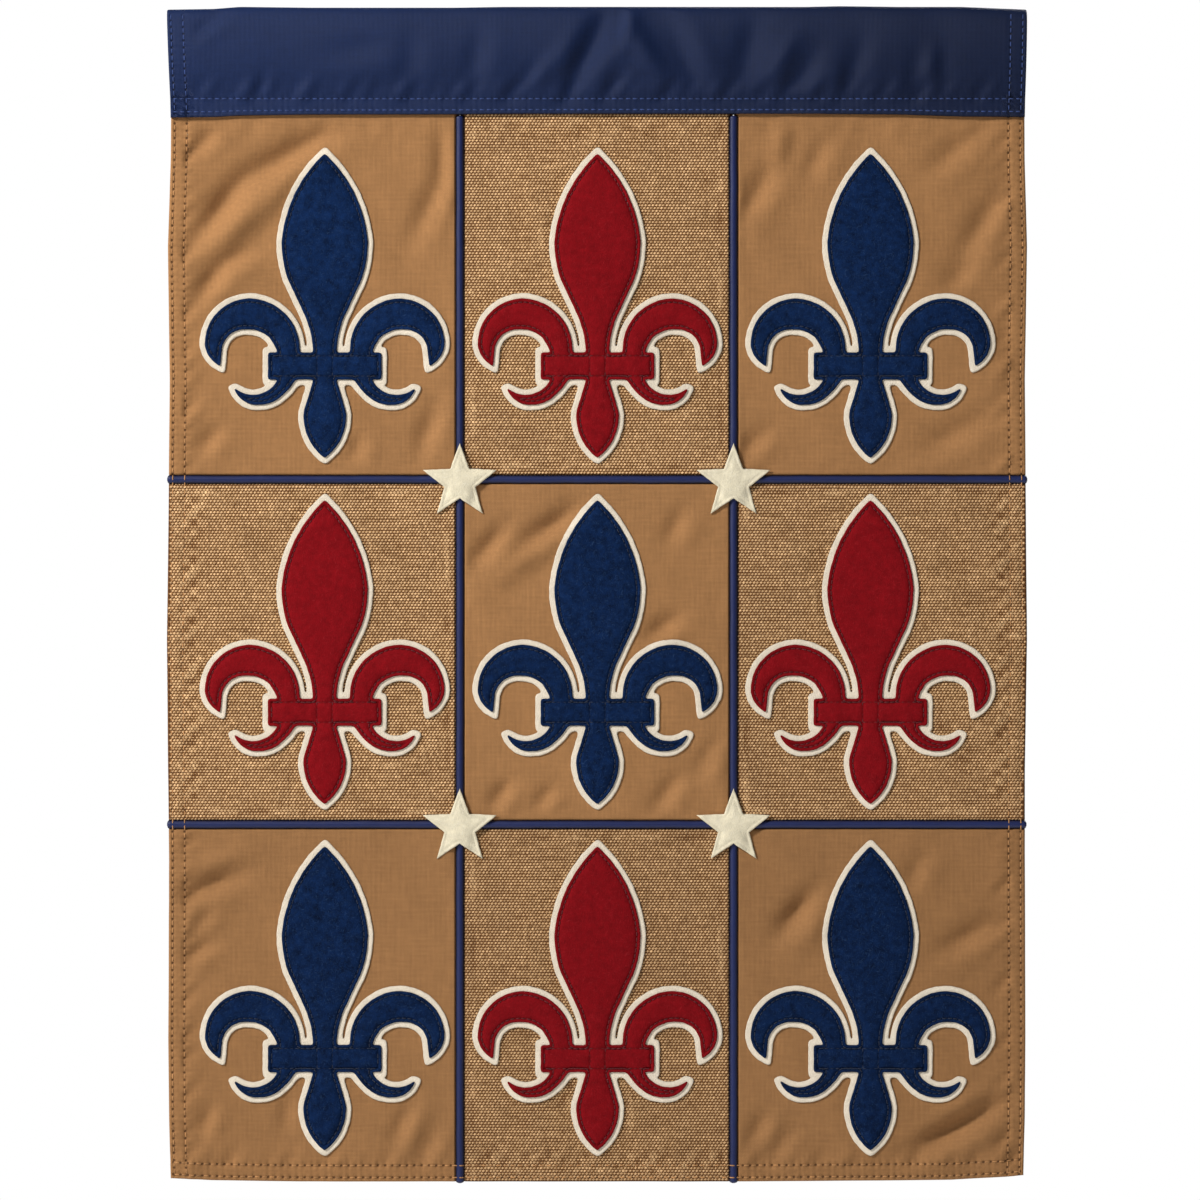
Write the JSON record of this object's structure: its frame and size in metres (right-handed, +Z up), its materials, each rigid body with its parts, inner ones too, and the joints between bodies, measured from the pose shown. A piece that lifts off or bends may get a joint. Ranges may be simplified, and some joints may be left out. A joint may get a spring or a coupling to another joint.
{
  "type": "garden flag",
  "caption": "Small hanging garden flag of nine tan panels with felt fleur-de-lis appliqué, corded seams, felt stars and a navy rod sleeve.",
  "frame": {"origin": "top edge of the rod sleeve at mid-width, on the middle plane of the cloth", "axes": "+Z up, the cloth hangs towards -Z; the face with the motifs looks towards -Y; +X to the right as seen from the front"},
  "size_m": [0.3301, 0.0113, 0.4515],
  "materials": {
    "navy_cloth": "satin",
    "navy_cord": "satin",
    "plain_tan": "matte",
    "coarse_tan": "matte",
    "cream_felt": "matte",
    "star_felt": "matte",
    "blue_felt": "matte",
    "red_felt": "matte"
  },
  "bodies": {
    "root": {"rod_sleeve": "navy_cloth", "panel_top_left": "plain_tan", "backing_top_left": "cream_felt", "fleur_top_left": "blue_felt", "panel_top_mid": "coarse_tan", "backing_top_mid": "cream_felt", "fleur_top_mid": "red_felt", "panel_top_right": "plain_tan", "backing_top_right": "cream_felt", "fleur_top_right": "blue_felt", "panel_mid_left": "coarse_tan", "backing_mid_left": "cream_felt", "fleur_mid_left": "red_felt", "panel_mid_mid": "plain_tan", "backing_mid_mid": "cream_felt", "fleur_mid_mid": "blue_felt", "panel_mid_right": "coarse_tan", "backing_mid_right": "cream_felt", "fleur_mid_right": "red_felt", "panel_foot_left": "plain_tan", "backing_foot_left": "cream_felt", "fleur_foot_left": "blue_felt", "panel_foot_mid": "coarse_tan", "backing_foot_mid": "cream_felt", "fleur_foot_mid": "red_felt", "panel_foot_right": "plain_tan", "backing_foot_right": "cream_felt", "fleur_foot_right": "blue_felt", "piping_across_upper": "navy_cord", "piping_across_lower": "navy_cord", "piping_down_left_top": "navy_cord", "piping_down_left_mid": "navy_cord", "piping_down_left_foot": "navy_cord", "piping_down_right_top": "navy_cord", "piping_down_right_mid": "navy_cord", "piping_down_right_foot": "navy_cord", "star_upper_left": "star_felt", "star_upper_right": "star_felt", "star_lower_left": "star_felt", "star_lower_right": "star_felt"}
  },
  "joints": []
}
